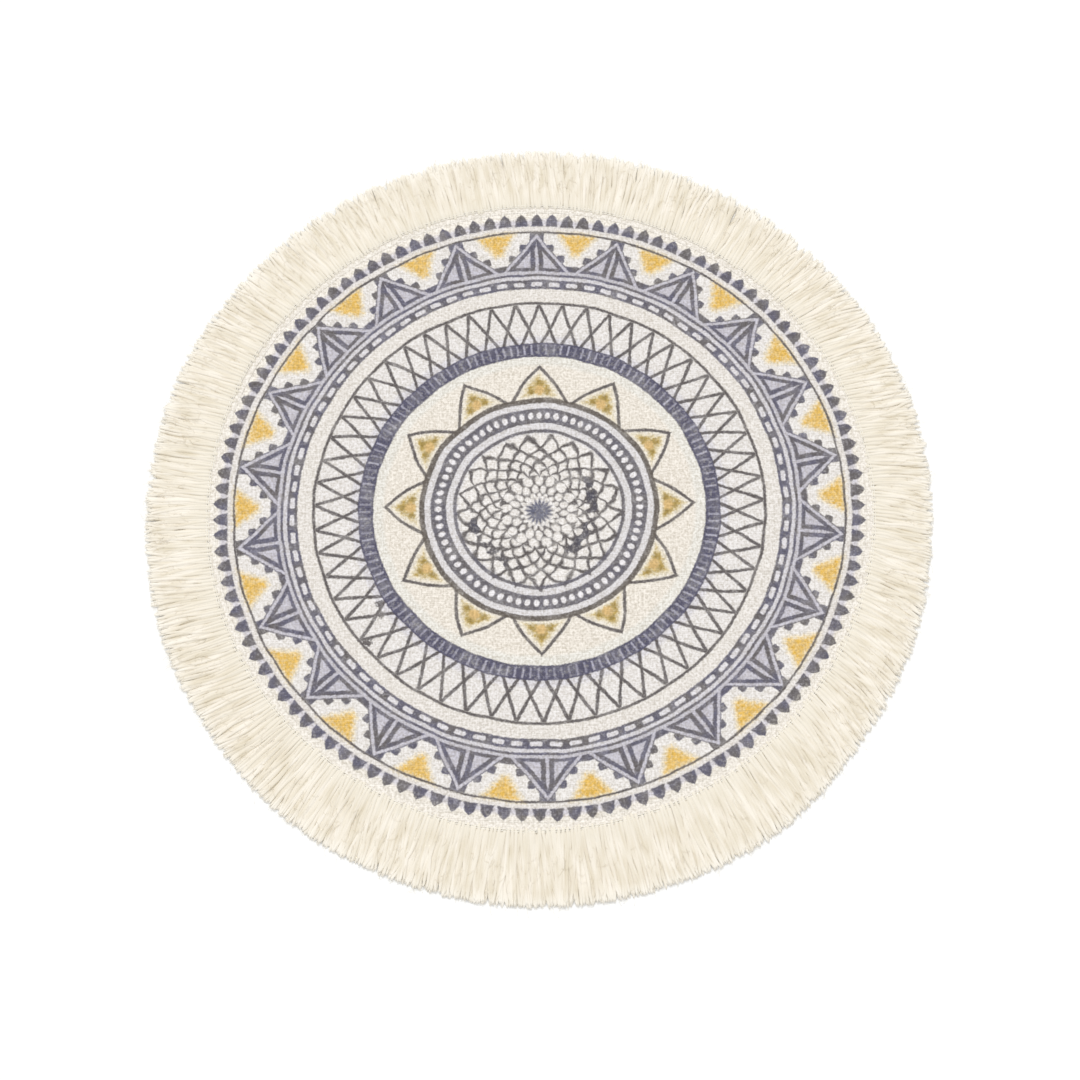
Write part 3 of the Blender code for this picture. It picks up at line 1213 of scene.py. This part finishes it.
def strands(name, paths, half_width, flatness, sides, material):
    """Many thin strands as one mesh. Each path is a list of points with a fullness, (x, y, z, f)."""
    section = strand_section(half_width, half_width * flatness, sides)
    curve = bpy.data.curves.new(name, "CURVE")
    curve.dimensions = "3D"
    curve.twist_mode = "Z_UP"
    curve.bevel_mode = "OBJECT"
    curve.bevel_object = section
    curve.use_fill_caps = True
    for path in paths:
        spline = curve.splines.new("POLY")
        spline.points.add(len(path) - 1)
        for point, (x, y, z, fullness) in zip(spline.points, path):
            point.co = (x, y, z, 1.0)
            point.radius = fullness
    rough = bpy.data.objects.new(name, curve)
    bpy.context.scene.collection.objects.link(rough)
    bpy.context.view_layer.update()
    graph = bpy.context.evaluated_depsgraph_get()
    mesh = bpy.data.meshes.new_from_object(rough.evaluated_get(graph))
    bpy.data.objects.remove(rough)
    bpy.data.objects.remove(section)
    shape = bmesh.new()
    shape.from_mesh(mesh)
    bpy.data.meshes.remove(mesh)
    bmesh.ops.remove_doubles(shape, verts=shape.verts, dist=STRAND_WELD)
    bmesh.ops.recalc_face_normals(shape, faces=shape.faces)
    piece = add_piece(name, shape, [material])
    note_shares(piece.data)
    return piece


def note_shares(mesh):
    """Keeps, at each point, how far out it lies: 0 at the heading and 1 where the fringe's tips lie."""
    shares = mesh.attributes.new(SHARE_NAME, "FLOAT", "POINT")
    for vert, kept in zip(mesh.vertices, shares.data):
        x, y, _ = vert.co
        reach, _, _ = fringe_at(math.atan2(x, y))
        kept.value = (math.hypot(x, y) - HEADING_OUTER) / (reach - HEADING_OUTER)


def tuft(turn, share, seed):
    """How far neighbouring yarns are drawn aside together at an angle and a share of their length."""
    around = turn * CLOTH_RADIUS / TUFT_WIDTH
    broad = noise.noise(Vector((around * BROAD_TUFTS_FOR_EACH, share * 0.8, seed)))
    narrow = noise.noise(Vector((around, share * 1.2, seed + 20)))
    return (broad * BROAD_TUFT_STRENGTH + narrow) * share


def yarn_path(turn, layer, stray):
    """One yarn, from the heading to its tip on the table."""
    reach, lean, ragged = fringe_at(turn)
    root = layer.root + rim_wave(turn) + stray.uniform(-ROOT_STRAY, ROOT_STRAY)
    shared = noise.noise(Vector((turn * TIP_STRAY_CHANGES, layer.seed, 2.0))) * TIP_STRAY_SHARED
    length = reach + (shared + stray.uniform(*TIP_STRAY)) * ragged - root
    lean += math.radians(stray.gauss(0, layer.spread_deg))
    wave_from = stray.uniform(0, math.tau)
    wave_count = stray.uniform(*YARN_WAVE_COUNTS)
    lift = stray.uniform(*YARN_LIFT)
    curl = noise.noise(Vector((turn * TIP_CURL_CHANGES, layer.seed, 9.0)))
    curl += stray.gauss(0, TIP_CURL_STRAY)
    out_x, out_y = outward(turn, 1.0)
    path = []
    for station in STATIONS:
        share = station.share
        along = root + length * share
        curled = max(0.0, share - TIP_CURL_FROM) / (1 - TIP_CURL_FROM) * share
        aside = length * math.tan(lean) * share**LEAN_POWER
        aside += layer.drawn * tuft(turn, share, layer.seed)
        aside += TIP_CURL * curl * curled
        aside += YARN_WAVE * share**0.5 * math.sin(wave_from + math.tau * wave_count * share)
        height = layer.root_height + station.drop * (layer.tip_height - layer.root_height)
        height += lift * share - ROOT_SINK * max(0.0, 1.0 - share / ROOT_SINK_SHARE)
        path.append(
            (
                out_x * along + out_y * aside,
                out_y * along - out_x * aside,
                height,
                station.fullness,
            )
        )
    return path


def fringe_layer(layer, material):
    """One layer of the fringe's yarns, evenly spaced but for a little straying."""
    stray = random.Random(layer.seed)
    spacing = math.tau / layer.count
    turns = [
        (number + stray.uniform(-SPACING_STRAY, SPACING_STRAY)) * spacing
        for number in range(layer.count)
    ]
    paths = [yarn_path(turn, layer, stray) for turn in turns]
    return strands(layer.name, paths, layer.half_width, YARN_FLATNESS, YARN_SIDES, material)


def loose_hairs(material):
    """Short fine fibres that stand off the yarns and soften the fringe's outline."""
    stray = random.Random(HAIR_SEED)
    paths = []
    for _ in range(HAIR_COUNT):
        turn = stray.uniform(0, math.tau)
        reach, lean, _ = fringe_at(turn)
        start = stray.uniform(HEADING_OUTER + HAIR_PAST_HEADING, reach + HAIR_PAST_TIPS)
        points_to = turn + lean + stray.gauss(0, HAIR_TURN)
        length = stray.uniform(*HAIR_LENGTH)
        curl = stray.gauss(0, HAIR_TURN)
        x, y = outward(turn, start)
        z = stray.uniform(*HAIR_HEIGHT)
        path = []
        for step in range(HAIR_POINTS):
            path.append((x, y, z, 1.0))
            move_x, move_y = outward(points_to + curl * step, length / (HAIR_POINTS - 1))
            x += move_x
            y += move_y
            z = max(HAIR_LOWEST, z + stray.uniform(*HAIR_CLIMB))
        paths.append(path)
    return strands("loose_hairs", paths, HAIR_HALF_WIDTH, ROUND, FINE_SIDES, material)


def binding_threads(material):
    """The threads that loop over the yarns' roots, round and round the heading."""
    paths = []
    for number, distance in enumerate(BINDING_RADII):
        steps = round(math.tau * distance / BINDING_STITCH) * BINDING_POINTS
        path = []
        for step in range(steps + 1):
            turn = math.tau * step / steps
            phase = math.tau * step / BINDING_POINTS + number
            out = distance + rim_wave(turn) + BINDING_SWAY * math.sin(phase)
            height = HEADING_TOP + BINDING_LIFT + BINDING_RISE * math.cos(phase)
            path.append((*outward(turn, out), height, 1.0))
        paths.append(path)
    return strands("binding_threads", paths, BINDING_HALF_WIDTH, ROUND, FINE_SIDES, material)


def floor():
    shape = bmesh.new()
    bmesh.ops.create_grid(shape, x_segments=1, y_segments=1, size=FLOOR_HALF_SIZE)
    return add_piece("floor", shape, [floor_white()], smooth=False)


# --- Light and camera --------------------------------------------------------------------------------------


def add_sun(name, tilt_deg, turn_deg, strength, softness_deg):
    """A broad, soft light from far away. Turn 0 shines from twelve o'clock, and 90 from three."""
    light = bpy.data.lights.new(name, "SUN")
    light.energy = strength
    light.angle = math.radians(softness_deg)
    lamp = bpy.data.objects.new(name, light)
    lamp.rotation_euler = (
        Matrix.Rotation(math.radians(-turn_deg), 4, "Z")
        @ Matrix.Rotation(math.radians(-tilt_deg), 4, "X")
    ).to_euler()
    bpy.context.scene.collection.objects.link(lamp)


def add_surroundings(brightness):
    world = bpy.data.worlds.new("studio")
    world.use_nodes = True
    background = world.node_tree.nodes["Background"]
    background.inputs["Color"].default_value = (1.0, 1.0, 1.0, 1.0)
    background.inputs["Strength"].default_value = brightness
    bpy.context.scene.world = world


def add_camera():
    """The photo's view: nearly overhead, from the six o'clock side."""
    turn = (
        Matrix.Rotation(CAMERA_TURN, 4, "Z")
        @ Matrix.Rotation(CAMERA_TILT, 4, "X")
        @ Matrix.Rotation(CAMERA_ROLL, 4, "Z")
    )
    camera = bpy.data.cameras.new("camera")
    camera.lens = CAMERA_LENS_MM
    camera.sensor_width = CAMERA_SENSOR_MM
    camera.clip_end = CAMERA_FAR_END
    holder = bpy.data.objects.new("camera", camera)
    above_cloth = Matrix.Translation((0, 0, CLOTH_TOP))
    holder.matrix_world = above_cloth @ turn @ Matrix.Translation(CAMERA_OFFSET)
    bpy.context.scene.collection.objects.link(holder)
    bpy.context.scene.camera = holder


def main():
    add_camera()
    add_surroundings(ROOM_BRIGHTNESS)
    add_sun("soft_key", KEY_TILT_DEG, KEY_TURN_DEG, KEY_STRENGTH, KEY_SOFTNESS_DEG)
    bpy.context.scene.view_settings.view_transform = "Standard"

    yarn = fringe_cotton("fringe_cotton_yarn", YARN_CREAM, YARN_SHADED, ROOT_CREAM)
    thread = fringe_cotton("binding_cotton", THREAD_CREAM_AND_TIP_LIGHT, THREAD_SHADED, THREAD_CREAM_AND_TIP_LIGHT)
    printed = printed_cotton()

    mat_cloth = cloth(printed, plain_cotton("plain_cotton", CREAM_CLOTH, SHADED_CLOTH))
    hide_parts("printed_cloth")

    layers = [fringe_layer(layer, yarn) for layer in LAYERS]
    trim = [heading(printed), *layers, loose_hairs(yarn), binding_threads(thread)]
    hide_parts("fringe")
    for piece in (mat_cloth, *trim):
        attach(piece, "root")

    floor()


main()
